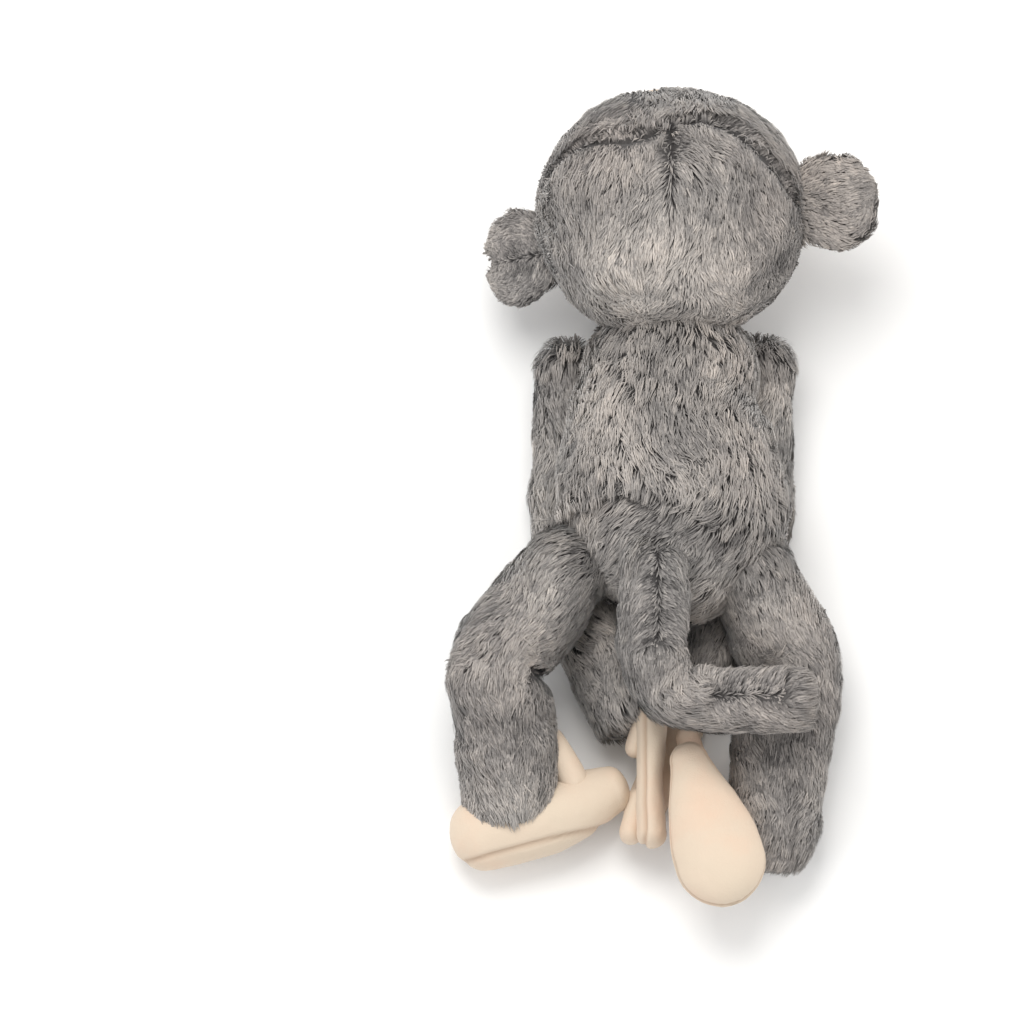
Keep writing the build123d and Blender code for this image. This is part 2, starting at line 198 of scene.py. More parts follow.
def smooth_line(points, step=0.004):
    """Points a step apart on a smooth line through the given points, with the radii carried along."""
    knots = [points[0]] + list(points) + [points[-1]]
    line = []
    for a, b, c, d in zip(knots, knots[1:], knots[2:], knots[3:]):
        a, b, c, d = (np.array(k, dtype=float) for k in (a, b, c, d))
        count = max(2, int(np.linalg.norm((c - b)[:3]) / step))
        for i in range(count):
            t = i / count
            line.append(0.5 * (2 * b + (c - a) * t + (2 * a - 5 * b + 4 * c - d) * t**2
                               + (3 * b - 3 * c + d - a) * t**3))
    line.append(np.array(points[-1], dtype=float))
    return np.array(line)


def roll_grid(points, around=64, flat_up=1.0, step=0.004, start_round=1.0, end_round=1.0):
    """Grid of a round-ended stuffed roll: rows along the line, columns around it."""
    line = smooth_line(points, step)
    spine, radius = line[:, :3], line[:, 3]
    along = np.gradient(spine, axis=0)
    along /= np.linalg.norm(along, axis=1)[:, None]
    turns = np.linspace(0, math.pi / 2, 12)

    def cap(end, roundness, angles):
        reach = along[end] * radius[end] * roundness
        return [(spine[end] + reach * math.cos(t), radius[end] * math.sin(t), along[end]) for t in angles]

    rows = cap(0, -start_round, turns[:-1]) + list(zip(spine, radius, along))
    rows += cap(-1, end_round, turns[::-1][1:])
    side = np.cross(rows[0][2], (0, 0, 1.0))
    if np.linalg.norm(side) < 0.2:
        side = np.array((1.0, 0, 0))
    grid = []
    for middle, size, forward in rows:
        side = side - forward * side.dot(forward)
        side /= np.linalg.norm(side)
        lift = np.cross(side, forward)
        angle = np.linspace(0, 2 * math.pi, around, endpoint=False)
        ring = middle + size * (np.cos(angle)[:, None] * side + flat_up * np.sin(angle)[:, None] * lift)
        grid.append(ring)
    return np.array(grid)


def ripple(points, size, scale, seed):
    """Soft uneven stuffing: one number for each point, from -size to size."""
    offset = Vector((seed * 3.1, seed * 1.7, seed * 0.9))
    return np.array([noise.noise(Vector(p) * scale + offset) for p in points]) * size


def grid_normals(grid):
    """Outward normals of a grid, and its steps from row to row."""
    down = np.gradient(grid, axis=0)
    across = np.roll(grid, -1, axis=1) - np.roll(grid, 1, axis=1)
    normal = np.cross(down, across)
    normal /= np.maximum(np.linalg.norm(normal, axis=2, keepdims=True), 1e-12)
    for end, near in ((0, 1), (-1, -2)):
        pole = normal[near].mean(axis=0)
        normal[end] = pole / max(np.linalg.norm(pole), 1e-9)
    return normal, down


def seam_depth(points, seams):
    """0 far from every seam, 1 on one; a seam is a function that gives distance in metres."""
    close = np.zeros(len(points))
    for seam in seams:
        close = np.maximum(close, np.exp(-(seam(points) / seam_reach) ** 2))
    return close


def nearest_seam(points, seams):
    """Distance to the nearest seam, or a metre where there is none."""
    return np.min([seam(points) for seam in seams] or [np.full(len(points), 1.0)], axis=0)


def build_mesh(name, points, triangles, tone, uv, material):
    """One smooth mesh object with a tone for each point and its own layout for baking."""
    mesh = bpy.data.meshes.new(name)
    mesh.vertices.add(len(points))
    mesh.vertices.foreach_set("co", points.astype(np.float32).ravel())
    corners = triangles.ravel().astype(np.int32)
    mesh.loops.add(len(corners))
    mesh.loops.foreach_set("vertex_index", corners)
    mesh.polygons.add(len(triangles))
    mesh.polygons.foreach_set("loop_start", np.arange(0, len(corners), 3, dtype=np.int32))
    mesh.update(calc_edges=True)
    tones = mesh.attributes.new("tone", "FLOAT", "POINT")
    tones.data.foreach_set("value", tone.astype(np.float32))
    layout = mesh.uv_layers.new(name="OFBake")
    layout.data.foreach_set("uv", uv.astype(np.float32)[corners].ravel())
    mesh.polygons.foreach_set("use_smooth", np.ones(len(triangles), dtype=bool))
    mesh.materials.append(material)
    mesh.validate()
    piece = bpy.data.objects.new(name, mesh)
    bpy.context.scene.collection.objects.link(piece)
    return piece


def grid_faces(rows, columns):
    """Triangles of a grid that is closed around."""
    i, j = np.meshgrid(np.arange(rows - 1), np.arange(columns), indexing="ij")
    k = (j + 1) % columns
    a, b, c, d = i * columns + j, i * columns + k, (i + 1) * columns + k, (i + 1) * columns + j
    halves = (np.stack(corners, -1).reshape(-1, 3) for corners in ((a, c, b), (a, d, c)))
    return np.concatenate(list(halves))


def scatter(rng, grid, count, bald):
    """Random places on a grid, evenly by area, with the row and column that each falls in."""
    rows, columns = grid.shape[:2]
    area = np.linalg.norm(np.gradient(grid, axis=0), axis=2) * np.linalg.norm(
        np.roll(grid, -1, axis=1) - grid, axis=2)
    weight = area.ravel() + 1e-12
    if bald is not None:
        weight = weight * np.where(bald(grid.reshape(-1, 3)), 0.0, 1.0)
    pick = rng.choice(rows * columns, size=count, p=weight / weight.sum())
    row, column = pick // columns, pick % columns
    next_row, next_column = np.clip(row + 1, 0, rows - 1), (column + 1) % columns
    s, t = rng.random((2, count, 1))
    root = (grid[row, column] * (1 - s) * (1 - t) + grid[row, next_column] * s * (1 - t)
            + grid[next_row, column] * (1 - s) * t + grid[next_row, next_column] * s * t)
    return root, row, column


def comb_pile(rng, root, flow, up, rows_to_end, seams, seed):
    """Lays the pile along the piece with swirls, ruffled at round ends and turned away from seams."""
    count = len(root)
    flow = flow / np.maximum(np.linalg.norm(flow, axis=1, keepdims=True), 1e-9)
    swirl = np.array([noise.noise_vector(Vector(p) * 30.0 + Vector((seed, 0, 0))) for p in root])
    flow = flow + 0.85 * swirl + rng.normal(0, 0.22, (count, 3))
    flow = flow + (1.5 * np.exp(-(rows_to_end / 3.0) ** 2))[:, None] * rng.normal(0, 1, (count, 3))
    step = 0.0015
    for seam in seams:
        slope = np.stack([seam(root + step * axis) - seam(root) for axis in np.eye(3)], -1) / step
        flow = flow + 2.2 * np.exp(-(seam(root) / parting_reach) ** 2)[:, None] * slope
    flow = flow - up * np.sum(flow * up, axis=1, keepdims=True)
    return flow / np.maximum(np.linalg.norm(flow, axis=1, keepdims=True), 1e-9)


def lock_leaders(rng, root):
    """For each blade, the one that its lock gathers round."""
    chosen = rng.choice(len(root), size=max(1, len(root) // blades_per_lock), replace=False)
    finder = kdtree.KDTree(len(chosen))
    for count, which in enumerate(chosen):
        finder.insert(Vector(root[which]), count)
    finder.balance()
    return chosen[np.array([finder.find(Vector(p))[1] for p in root])]


def blade_layout(count):
    """Upper half of the bake square: one small cell for each blade."""
    cells = int(math.ceil(math.sqrt(count)))
    u = (np.arange(count) % cells) / cells
    v = 0.5 + 0.49 * (np.arange(count) // cells) / cells
    wide, tall = 0.6 / cells, 0.30 / cells
    corners = ((0, 0), (wide, 0), (0, tall * 0.5), (wide, tall * 0.5), (wide / 2, tall))
    return np.stack([np.stack([u + du, v + dv], 1) for du, dv in corners], axis=1)


def furry(name, points, blades, seed, around=64, seams=(), lump=0.0022, shape=None, comb=None,
          length=pile_length, start_round=1.0, end_round=1.0, bald=None, shade=0.0, dip=groove_depth):
    """A stuffed roll covered in pile that is brushed along it."""
    rng = np.random.default_rng(seed)
    grid = roll_grid(points, around, start_round=start_round, end_round=end_round)
    if shape is not None:
        grid = shape(grid)
    rows, columns = grid.shape[:2]
    normal, down = grid_normals(grid)
    skin = grid.reshape(-1, 3)
    seam = seam_depth(skin, seams)
    push = ripple(skin, lump, 24.0, seed) + ripple(skin, lump * 0.5, 60.0, seed + 1) - dip * seam
    skin = skin + normal.reshape(-1, 3) * push[:, None]
    skin[:, 2] = np.maximum(skin[:, 2], 0.0008)
    # backing tone varies at random; along the seam grooves it is lowered as painted shade
    skin_tone_and_seam_shade = 0.10 + 0.06 * ripple(skin, 1.0, 22.0, seed + 2) - 0.08 * seam
    v, u = np.meshgrid(np.linspace(0, 0.45, rows), np.linspace(0, 0.99, columns), indexing="ij")

    root, row, column = scatter(rng, skin.reshape(rows, columns, 3), blades, bald)
    up, flow = normal[row, column], down[row, column]
    if comb is not None:
        flow = comb(root, flow)
    flow = comb_pile(rng, root, flow, up, np.minimum(row, rows - 1 - row), seams, seed)
    near = seam_depth(root, seams)
    clump = np.array([noise.noise(Vector(p) * 75.0 + Vector((0, seed, 0))) for p in root])
    long = length * (0.72 + 0.45 * rng.random(blades)) * (1 - 0.5 * near)
    rise = pile_height * (0.75 + 0.55 * rng.random(blades) + 0.5 * clump) * (1 - 0.5 * near)
    leader = lock_leaders(rng, root)
    half = np.cross(flow, up) * pile_width * (0.7 + 0.7 * rng.random(blades))[:, None] * 0.5
    mid = root + flow * (long * 0.48)[:, None] + up * (rise * 0.85)[:, None]
    tip = root + flow * long[:, None] + up * (rise * 0.72)[:, None]
    hold = 1 - np.exp(-(nearest_seam(root, seams) / 0.012) ** 2)[:, None]
    mid = mid + (mid[leader] - mid) * 0.12 * hold
    tip = tip + (tip[leader] - tip) * 0.42 * hold
    planted = root - up * root_depth
    blade = np.stack([planted - half, planted + half, mid - half, mid + half, tip], axis=1)
    blade[:, :, 2] = np.maximum(blade[:, :, 2], 0.0005)

    lock = rng.normal(0, 0.075, blades)[leader]
    lift = shade(root) if callable(shade) else shade
    bright = (0.60 + lift + 0.22 * ripple(root, 1.0, 22.0, seed + 2) + 0.11 * clump + lock
              + rng.normal(0, 0.07, blades))
    tone = np.stack([0.2 * bright, 0.2 * bright, bright * 0.86, bright * 0.86, bright + 0.05], 1)
    first = len(skin) + np.arange(blades)[:, None] * 5
    triangles = [grid_faces(rows, columns)]
    triangles += [first + np.array([corners]) for corners in ((0, 1, 3), (0, 3, 2), (2, 3, 4))]
    return build_mesh(
        name, np.concatenate([skin, blade.reshape(-1, 3)]), np.concatenate(triangles),
        np.concatenate([skin_tone_and_seam_shade, tone.ravel()]),
        np.concatenate([np.stack([u, v], -1).reshape(-1, 2), blade_layout(blades).reshape(-1, 2)]), fur)


def backing(radius):
    """Radius of the knitted backing under pile that reaches the given radius."""
    return radius - pile_height


# ---- Torso ----
# A pear of plush filled hard with fibre: back panels and a belly, sewn together along both sides.
torso_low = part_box("torso_belly")[0]
back_low, back_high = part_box("torso_back_left")
belly_x = (back_low[0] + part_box("torso_back_right")[1][0]) / 2
shoulder_radius = 0.059
rump_radius = (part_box("torso_back_right")[1][0] - back_low[0]) / 2
torso_height = back_high[2] - rump_radius
rump = Vector((belly_x, torso_low[1] + rump_radius, torso_height))
chest = Vector((belly_x, rump.y + 0.068, torso_height + 0.002))


def keep_clear(grid, rolls):
    """Presses points out of the limbs that lie against the toy."""
    points = grid.reshape(-1, 3).copy()
    for start, end, radius in rolls:
        start, end = np.array(start), np.array(end)
        span = end - start
        share = np.clip(((points - start) @ span) / (span @ span), 0, 1)
        away_from = points - (start + share[:, None] * span)
        gap = np.linalg.norm(away_from, axis=1)
        move = np.maximum(0, radius - gap)[:, None]
        points += away_from / np.maximum(gap, 1e-6)[:, None] * move
    return points.reshape(grid.shape)


arm_radius, wrist_radius, leg_radius, tail_radius = 0.023, 0.020, 0.034, 0.0235
pressed_by = [
    (place[f"{first}_{side}"], place[f"{second}_{side}"], arm_radius - 0.003)
    for first, second in (("shoulder", "elbow"), ("elbow", "wrist")) for side in ("left", "right")
]


def torso_shade(root):
    """Sides lighter, the middle of the back darker."""
    return 0.16 * np.clip(np.abs(root[:, 0] - belly_x) / 0.065 - 0.45, -0.45, 0.5)


def side_seam(points):
    """Distance from the seam between back and belly."""
    return np.abs(points[:, 2] - torso_height + 0.004) + 0.002


torso = furry(
    "torso_fur",
    [(*(chest + Vector((0.004, 0.028, 0))), backing(0.060)), (*chest, backing(shoulder_radius + 0.010)),
     (*(rump + Vector((0.002, 0.032, 0))), backing(rump_radius + 0.003)),
     (*(rump + Vector((0.005, -0.002, 0))), backing(rump_radius + 0.006)),
     (*(rump - Vector((0, 0.012, 0))), backing(rump_radius - 0.002))],
    46000, 11, around=120, seams=(side_seam,), lump=0.0040,
    shape=lambda grid: keep_clear(grid, pressed_by), end_round=0.86, shade=torso_shade,
)
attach(torso, "torso")
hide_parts("torso_back_left", "torso_back_right", "torso_belly", "torso_stuffing")


# ---- Head ----
# A ball of plush: two back panels meet on a centre seam and join the crown over the top, ear to ear.
skull_low, skull_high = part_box("head_stuffing")
head_middle = (Vector(skull_low) + Vector(skull_high)) / 2
head_radius = (skull_high[0] - skull_low[0]) / 2 + 0.0073
head_tip = math.radians(54)
head_up = Vector((0, math.cos(head_tip), math.sin(head_tip)))
head_front = Vector((0, math.sin(head_tip), -math.cos(head_tip)))


face_opening = 0.061


def from_head(points):
    """Offset from the head's middle, how far ahead of it, and how far from its front axis."""
    offset = points - np.array(head_middle)
    ahead = offset @ np.array(head_front)
    around = np.linalg.norm(offset - ahead[..., None] * np.array(head_front), axis=-1)
    return offset, ahead, around


def crown_seam(points):
    """Distance from the bowed seam over the top, which stops short of the ears."""
    offset, ahead, around = from_head(points)
    bow = 0.008 * np.sin(offset[:, 0] * 60) - 0.004
    return np.abs(ahead - bow) + np.where(offset @ np.array(head_up) < 0.02, 1.0, 0.0)


def nape_seam(points):
    """Distance from the centre seam, which fades toward the nape."""
    offset, ahead, around = from_head(points)
    fade = np.maximum(0.0, -ahead - 0.028) * 0.35
    return np.abs(offset[:, 0]) + fade + np.where(ahead > 0.0, 1.0, 0.0)


def face_edge(points):
    """Distance from the seam round the face."""
    offset, ahead, around = from_head(points)
    return np.abs(around - face_opening) + np.where(ahead < 0, 1.0, 0.0)


def inside_face(points):
    offset, ahead, around = from_head(points)
    return (ahead > 0) & (around < face_opening - 0.001)


def head_form(grid):
    """Sunk where the velour face is set in."""
    offset, ahead, around = from_head(grid)
    inset = np.where((ahead > 0) & (around < face_opening - 0.0025), 0.90, 1.0)
    return np.array(head_middle) + offset * inset[..., None]


def head_comb(root, flow):
    """Pile swept from the crown down to the nape."""
    offset = (root - np.array(head_middle)) / head_radius
    sweep = np.array((0.0, -1.0, -0.25)) + offset * np.array((0.45, 0, 0))
    return sweep + flow


def head_shade(root):
    """Lighter and warmer toward the nape, darker behind the crown seam."""
    ahead = from_head(root)[1]
    return 0.045 + 0.095 * np.clip((-ahead - 0.064) / 0.012, -1.0, 1.0)


head = furry(
    "head_fur",
    [(*(head_middle + Vector((shift, 0, 0))), backing(head_radius)) for shift in (-0.006, 0, 0.006)],
    54000, 21, around=120, seams=(crown_seam, nape_seam, face_edge), lump=0.0028,
    shape=head_form, comb=head_comb, bald=inside_face, shade=head_shade,
)
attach(head, "head")
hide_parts("head_back_left", "head_back_right", "head_crown", "head_stuffing")


# ---- Neck ----
# A short stuffed neck between head and shoulders, mostly hidden in the pile.
neck_low, neck_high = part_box("neck_stuffing")
neck_middle = (Vector(neck_low) + Vector(neck_high)) / 2
neck_radius, neck_half = 0.024, 0.008
neck = furry(
    "neck_fur", [(*(neck_middle + Vector((0, end, 0))), neck_radius) for end in (neck_half, -neck_half)],
    3000, 31, around=40,
)
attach(neck, "neck")
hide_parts("neck_stuffing")


# ---- Limb sleeves ----
# Each arm and leg is one plush tube, creased inside its bend and sewn shut at both ends.
def bend_crease(pivot, before, after):
    """Seam-like fold across the inside of a bend."""
    inside = ((before - pivot).normalized() + (after - pivot).normalized()).normalized()
    cross = ((pivot - before).normalized() + (after - pivot).normalized()).normalized()

    def distance(points):
        offset = points - np.array(pivot)
        return np.abs(offset @ np.array(cross)) + np.where(offset @ np.array(inside) < 0.004, 1.0, 0.0)
    return distance


def sleeve(name, stations, joint, replaced, seed, blades):
    """One plush tube that bends over its joint."""
    start, middle, end = (Vector(s[:3]) for s in (stations[0], place[joint], stations[-1]))
    creases = (bend_crease(middle, start, end),)
    piece = furry(name, stations, blades, seed, around=72, seams=creases, end_round=0.35, shade=-0.04)
    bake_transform(piece)
    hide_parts(*replaced)


def leg_stations(side):
    """Centre line and radii from inside the rump to the foot."""
    hip, knee, full = place["hip_" + side], place["knee_" + side], backing(leg_radius)
    if side == "left":
        ankle = place["ankle_left"]
        top = hip + Vector((-0.008, -0.006, -0.012))
        return [(*top, full - 0.003), (*top.lerp(knee, 0.5), full + 0.001), (*knee, full + 0.001),
                (*knee.lerp(ankle, 0.5), full + 0.002), (*ankle, full + 0.001)]
    top = hip + Vector((-0.002, -0.006, -0.042))
    bulge = Vector((0.004, 0, 0))
    foot_end = Vector((0.076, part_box("shin_right_stuffing")[0][1] + 0.018, 0.0325))
    return [(*top, full - 0.004), (*(top.lerp(knee, 0.5) + bulge + Vector((0, 0, -0.004))), full),
            (*(knee + bulge), full + 0.001), (*knee.lerp(foot_end, 0.45), full + 0.001),
            (*knee.lerp(foot_end, 0.85), full - 0.002), (*foot_end, full - 0.008)]


def arm_stations(side):
    """Centre line and radii from shoulder to cuff; the left cuff is bunched up and fuller."""
    shoulder, elbow, wrist = (place[f"{joint}_{side}"] for joint in ("shoulder", "elbow", "wrist"))
    full = backing(arm_radius)
    middle_swell, cuff_swell, cuff_shift = (0.007, 0.011, 0.010) if side == "left" else (0.0, 0.0, 0.0)
    cuff = elbow.lerp(wrist, 0.92) + Vector((cuff_shift, 0, 0.006))
    return [(*shoulder, full), (*shoulder.lerp(elbow, 0.5), full + 0.001), (*elbow, full),
            (*elbow.lerp(wrist, 0.5), full + middle_swell), (*cuff, backing(wrist_radius) + cuff_swell)]


for number, side in enumerate(("left", "right")):
    for limb, upper, lower, joint, line, seed, blades in (
            ("leg", "thigh", "shin", "knee", leg_stations, 41, 34000),
            ("arm", "upper_arm", "forearm", "elbow", arm_stations, 51, 22000)):
        layers = [f"{part}_{side}_{layer}" for part in (upper, lower) for layer in ("sleeve", "stuffing")]
        sleeve(f"{limb}_{side}_fur", line(side), f"{joint}_{side}",
               layers, seed + number, blades)


# ---- Tail ----
# A long narrow plush tube sewn to the rump, with its seam on top; it curls over the right knee.
tip_low, tip_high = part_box("tail_tip_sleeve")
root, bend = place["tail_base"], place["tail_curl"]
turn = tip_low[1] + tail_radius
curl = bend.y - turn
tail_full = backing(tail_radius)
corner = Vector((bend.x + curl * 0.30, bend.y - curl * 0.72, bend.z))
tail_stations = [
    (*root, tail_full), (*root.lerp(bend, 0.5), tail_full + 0.001), (*bend, tail_full),
    (*corner, tail_full), (bend.x + curl, turn, bend.z, tail_full),
    (bend.x + curl + 0.03, turn, bend.z + 0.001, tail_full),
    (tip_high[0] - tail_radius, turn, bend.z + 0.003, tail_full - 0.001),
]


def tail_seam(points):
    """Seam that follows the tail's upper side, first toward the table edge and then across."""
    down_run = np.abs(points[:, 0] - root.x - 0.004) + np.where(points[:, 1] < bend.y, 1.0, 0.0)
    cross_run = np.abs(points[:, 1] - turn - 0.002) + np.where(
        (points[:, 0] < bend.x + curl * 0.8) | (points[:, 0] > tip_high[0] - 0.030), 1.0, 0.0)
    return np.minimum(down_run, cross_run) + np.where(points[:, 2] < bend.z, 1.0, 0.0)


tail = furry("tail_fur", tail_stations, 26000, 61, around=56, seams=(tail_seam,), end_round=0.6, shade=-0.10)
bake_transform(tail)
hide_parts("tail_root_sleeve", "tail_root_stuffing", "tail_tip_sleeve", "tail_tip_stuffing")


# ---- Velour ----
# Short shaved pile in cream, flushed peach in places, with a fine nap that catches light at its edges; the
# sewn grooves carry painted shade.
velour_groove_depth = 0.0022
velour_groove_reach = 0.0016
# painted shade: how far the colour in a sewn groove is darkened
groove_painted_shade = 0.45          # how far a sewn groove darkens


def velour_material():
    made, tree, shader = blank_material("cream_velour", 0.9, 0.2)
    shader.inputs["Sheen Tint"].default_value = (1.0, 0.95, 0.88, 1)
    spot = node(tree, "ShaderNodeTexCoord", {}, {})[3]
    tone = node(tree, "ShaderNodeAttribute", {"attribute_name": "tone"}, {})[2]
    flush = node(tree, "ShaderNodeTexNoise", {}, {"Vector": spot, "Scale": 16.0, "Detail": 3.0})[0]
    nap = node(tree, "ShaderNodeTexNoise", {}, {"Vector": spot, "Scale": 900.0, "Detail": 4.0})[0]
    stops = [(0.30, (0.645, 0.545, 0.43)), (0.50, (0.66, 0.545, 0.43)), (0.70, (0.70, 0.515, 0.39))]
    colour = node(tree, "ShaderNodeValToRGB", {"ramp": stops}, {"Fac": flush + (nap - 0.5) * 0.12})[0]
    # painted shade: the groove tone from the mesh darkens the velour colour toward brown
    shaded = node(tree, "ShaderNodeMix", {"data_type": "RGBA", "blend_type": "MULTIPLY"},
                  {0: tone, 6: colour, 7: (0.50, 0.34, 0.24, 1)})[2]
    tree.links.new(shaded.socket, shader.inputs["Base Color"])
    crease = node(tree, "ShaderNodeTexNoise", {}, {"Vector": spot, "Scale": 55.0, "Detail": 3.0})[0]
    height = nap * 0.35 + crease
    bump = node(tree, "ShaderNodeBump", {}, {"Strength": 0.6, "Distance": 0.0012, "Height": height})[0]
    tree.links.new(bump.socket, shader.inputs["Normal"])
    return made


velour = velour_material()


def soft(name, points, seed, body, replaced, around=72, seams=(), flat_up=1.0, lump=0.0012, shape=None,
         start_round=1.0, end_round=1.0, extra=()):
    """A velour piece with sewn grooves, painted darker as shade; extra rolls are sewn into the same piece."""
    all_points, all_faces, all_groove_shades, all_uvs, start = [], [], [], [], 0
    for number, roll in enumerate((points, *extra)):
        grid = roll_grid(roll, around, flat_up, step=0.0025, start_round=start_round, end_round=end_round)
        if shape is not None:
            grid = shape(grid)
        rows, columns = grid.shape[:2]
        normal = grid_normals(grid)[0].reshape(-1, 3)
        flat = grid.reshape(-1, 3)
        groove = np.zeros(len(flat))
        for seam in seams:
            groove = np.maximum(groove, np.exp(-(seam(flat) / velour_groove_reach) ** 2))
        push = ripple(flat, lump, 38.0, seed) + ripple(flat, lump * 0.3, 130.0, seed + 1)
        push = push - velour_groove_depth * groove
        flat = flat + normal * push[:, None]
        flat[:, 2] = np.maximum(flat[:, 2], 0.0006)
        v, u = np.meshgrid(np.linspace(0, 0.97, rows), np.linspace(0, 0.97, columns), indexing="ij")
        share = 1.0 / (1 + len(extra))
        all_points.append(flat)
        all_faces.append(grid_faces(rows, columns) + start)
        # painted shade: each groove's depth becomes the tone that darkens the velour there
        all_groove_shades.append(groove * groove_painted_shade)
        all_uvs.append(np.stack([u, (v + number) * share], -1).reshape(-1, 2))
        start += len(flat)
    piece = build_mesh(name, np.concatenate(all_points), np.concatenate(all_faces), np.concatenate(all_groove_shades),
                       np.concatenate(all_uvs), velour)
    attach(piece, body)
    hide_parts(*replaced)
    return piece


# ---- Hands ----
# Velour mittens, back and palm sewn round the edge; the left one stands on its edge over the right one.
def plane_seam(point, normal):
    """Distance from a flat seam through a point."""
    return lambda points: np.abs((points - np.array(point)) @ np.array(normal))


for side in ("left", "right"):
    low, high = (Vector(corner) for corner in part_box(f"hand_{side}_stuffing"))
    nodes_here = [f"hand_{side}_{part}" for part in ("back", "palm", "stuffing")]
    if side == "left":
        x, z = (low.x + high.x) / 2, (low.z + high.z) / 2
        stations = [(x + 0.001, high.y - 0.018, z, 0.0112), (x + 0.001, high.y - 0.040, z + 0.001, 0.0105),
                    (x, low.y + 0.050, z, 0.0092), (x + 0.001, low.y + 0.016, z, 0.0100)]
        thumb = [(x - 0.002, high.y - 0.014, z - 0.004, 0.0088),
                 (x - 0.010, high.y - 0.038, z - 0.010, 0.0072)]
        finger = [(x - 0.008, low.y + 0.044, z - 0.016, 0.0075),
                  (x - 0.013, low.y + 0.020, z - 0.018, 0.0085)]
        soft("hand_left_velour", stations, 71, "hand_left", nodes_here, flat_up=1.6,
             seams=(plane_seam((x - 0.004, 0, 0), (1, 0, 0)),), extra=(thumb, finger))
    else:
        height = 0.0113
        start = Vector((high.x - 0.020, high.y - 0.016, height))
        end = Vector((low.x + 0.018, low.y + 0.018, height))
        stations = [(*start, 0.015), (*start.lerp(end, 0.4), 0.0165), (*end, 0.0145)]
        soft("hand_right_velour", stations, 72, "hand_right", nodes_here, flat_up=0.66,
             seams=(plane_seam((0, 0, height), (0, 0, 1)),))


# ---- Feet ----
# Long velour feet with a sole sewn in; the left lies on its side, the right shows its sole.
for side in ("left", "right"):
    low, high = (Vector(corner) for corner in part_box(f"foot_{side}_stuffing"))
    nodes_here = [f"foot_{side}_{part}" for part in ("sole", "upper", "stuffing")]
    if side == "left":
        heel = Vector((low.x + 0.0275, low.y + 0.0295, 0.028))
        arch = heel + Vector((0.044, 0.012, 0.002))
        ball = heel + Vector((0.078, 0.026, 0.006))
        stations = [(*heel, 0.0262), (*heel.lerp(arch, 0.5), 0.0268), (*arch, 0.0262),
                    (*arch.lerp(ball, 0.6), 0.0232), (*ball, 0.0195),
                    (*(ball + Vector((0.010, 0.004, 0))), 0.0165)]
        sole_way = Vector((0.25, -0.96, -0.15)).normalized()
        seams = (plane_seam(heel + sole_way * 0.016, sole_way),)
        big_toe = [(arch.x + 0.001, arch.y + 0.050, 0.046, 0.0095),
                   (arch.x + 0.009, arch.y + 0.036, 0.048, 0.0100),
                   (arch.x + 0.017, arch.y + 0.022, 0.044, 0.0100)]
        soft("foot_left_velour", stations, 81, "foot_left", nodes_here, seams=seams, extra=(big_toe,),
             end_round=0.7)
    else:
        middle_height = (low.z + high.z) / 2
        heel = Vector(((low.x + high.x) / 2 + 0.002, low.y + 0.029, middle_height))
        toe = Vector((0.0170, -0.186, middle_height))
        stations = [(*heel, 0.0318), (*heel.lerp(toe, 0.28), 0.0305), (*heel.lerp(toe, 0.62), 0.0235),
                    (*heel.lerp(toe, 0.85), 0.0175), (*toe, 0.0140)]
        big_toe = [(0.022, -0.182, 0.044, 0.0085), (0.0165, -0.166, 0.046, 0.0085)]
        soft("foot_right_velour", stations, 82, "foot_right", nodes_here, flat_up=0.62,
             seams=(plane_seam(heel + Vector((0, 0, 0.002)), (0, 0, 1)),), extra=(big_toe,))


# ---- Ears ----
# Flat round ears: plush outside, velour lining inside, sewn round the rim and gathered at the root.
ear_half_width = 0.034
ear_dish = 0.0035
lining_margin = 0.006       # how far the lining stays inside the furry rim


def ear_axes(side, hinge):
    """Directions of one ear from its hinge: outward, across it, and up out of it."""
    boxes = [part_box(f"ear_{side}_{layer}") for layer in ("back", "lining")]
    low = Vector(map(min, *(box[0] for box in boxes)))
    high = Vector(map(max, *(box[1] for box in boxes)))
    joints = frame["record"]["behaviour"]["joints"]
    across = Vector(next(j for j in joints if j["name"] == f"ear_{side}_flop")["axis"])
    out = (low + high) / 2 - hinge
    if side == "left":      # hangs down beside the head
        out = Vector((-0.70, 0.02, -0.66)).normalized()
        across = Vector((0.05, -0.98, -0.15))
        across = (across - out * across.dot(out)).normalized()
    out = (out - across * out.dot(across)).normalized()
    face = out.cross(across).normalized()
    return out, across, face if face.z > 0 else -face


def paddle(hinge, axes, layer, flatness):
    """Turns a roll into a thin dished paddle at its own layer of the ear."""
    origin = np.array(hinge)
    out, across, face = (np.array(axis) for axis in axes)

    def shape(grid):
        points = grid - origin
        a, b, c = points @ out, points @ across, points @ face
        c = c * flatness + layer - ear_dish * (1 - (b / ear_half_width) ** 2)
        return origin + a[..., None] * out + b[..., None] * across + c[..., None] * face
    return shape


for number, side in enumerate(("left", "right")):
    hinge = place[f"ear_{side}_flop"]
    axes = ear_axes(side, hinge)
    out, across, face = axes
    line = [(*(hinge + out * reach), radius)
            for reach, radius in ((0.001, 0.020), (0.014, 0.027), (0.027, 0.030), (0.038, 0.027))]
    ear = furry(f"ear_{side}_fur", line, 9000, 91 + number, around=56,
                shape=paddle(hinge, axes, 0.0032, 0.17), lump=0.0006, length=ear_pile_length,
                end_round=0.5, start_round=0.3, dip=0.0008,
                seams=(plane_seam(hinge, across),) if side == "left" else ())
    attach(ear, f"ear_{side}")
    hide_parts(f"ear_{side}_back")
    inner = [(x, y, z, radius - lining_margin) for x, y, z, radius in line]
    soft(f"ear_{side}_velour", inner, 95 + number, f"ear_{side}", [f"ear_{side}_lining"],
         shape=paddle(hinge, axes, -0.0052, 0.10), lump=0.0004, end_round=0.5, start_round=0.3)


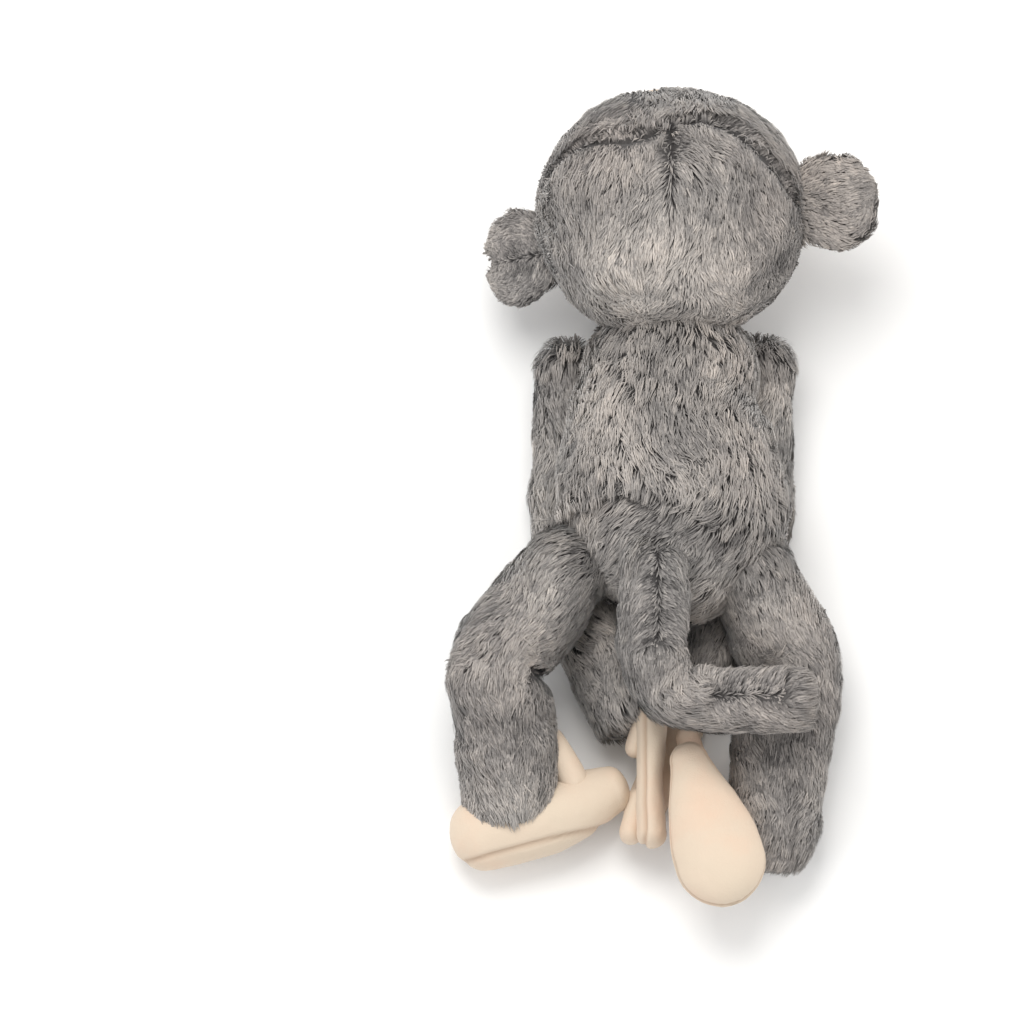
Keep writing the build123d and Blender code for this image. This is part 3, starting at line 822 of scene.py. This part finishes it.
# ---- Face ----
# A velour face set into the plush, with a round stuffed muzzle.
soft("face_velour",
     [(*(head_middle + head_front * 0.052), 0.058), (*(head_middle + head_front * 0.0605), 0.059)],
     101, "head", ["face_panel"], around=96, lump=0.0006, start_round=0.1, end_round=0.42)
muzzle_middle = head_middle + head_front * 0.070 - head_up * 0.020
soft("muzzle_velour",
     [(*(muzzle_middle - head_front * 0.004), 0.041), (*(muzzle_middle + head_front * 0.001), 0.0405)],
     102, "head", ["muzzle"], around=120, lump=0.0008)


# ---- Hard parts ----
# Polished black plastic eyes and nose; the lock washers are moulded white plastic.
def plastic(name, dark, light, roughness):
    made, tree, shader = blank_material(name, roughness, 0.0)
    spot = node(tree, "ShaderNodeTexCoord", {}, {})[3]
    haze = node(tree, "ShaderNodeTexNoise", {}, {"Vector": spot, "Scale": 260.0, "Detail": 3.0})[0]
    colour = node(tree, "ShaderNodeValToRGB", {"ramp": [(0.3, dark), (0.7, light)]}, {"Fac": haze})[0]
    tree.links.new(colour.socket, shader.inputs["Base Color"])
    tree.links.new((haze * 0.08 + (roughness - 0.04)).socket, shader.inputs["Roughness"])
    return made


black = plastic("black_plastic_polished", (0.010, 0.009, 0.009), (0.020, 0.017, 0.015), 0.14)
white = plastic("white_plastic_moulded", (0.76, 0.76, 0.74), (0.86, 0.86, 0.84), 0.5)
for name, finish in (("eye_left", black), ("eye_right", black), ("nose", black), ("eye_washers", white)):
    for material_slot in frame["nodes"][name].material_slots:
        material_slot.material = finish


# ---- Floor ----
# A plain pale sheet under everything.
floor_mesh = bpy.data.meshes.new("floor")
floor_mesh.from_pydata([(-4, -4, 0), (4, -4, 0), (4, 4, 0), (-4, 4, 0)], [], [(0, 1, 2, 3)])
floor = bpy.data.objects.new("floor", floor_mesh)
floor.location.z = -0.0004
bpy.context.scene.collection.objects.link(floor)
pale, _, pale_shader = blank_material("pale_floor", 0.9, 0.0)
pale_shader.inputs["Base Color"].default_value = (0.92, 0.92, 0.915, 1)
floor_mesh.materials.append(pale)
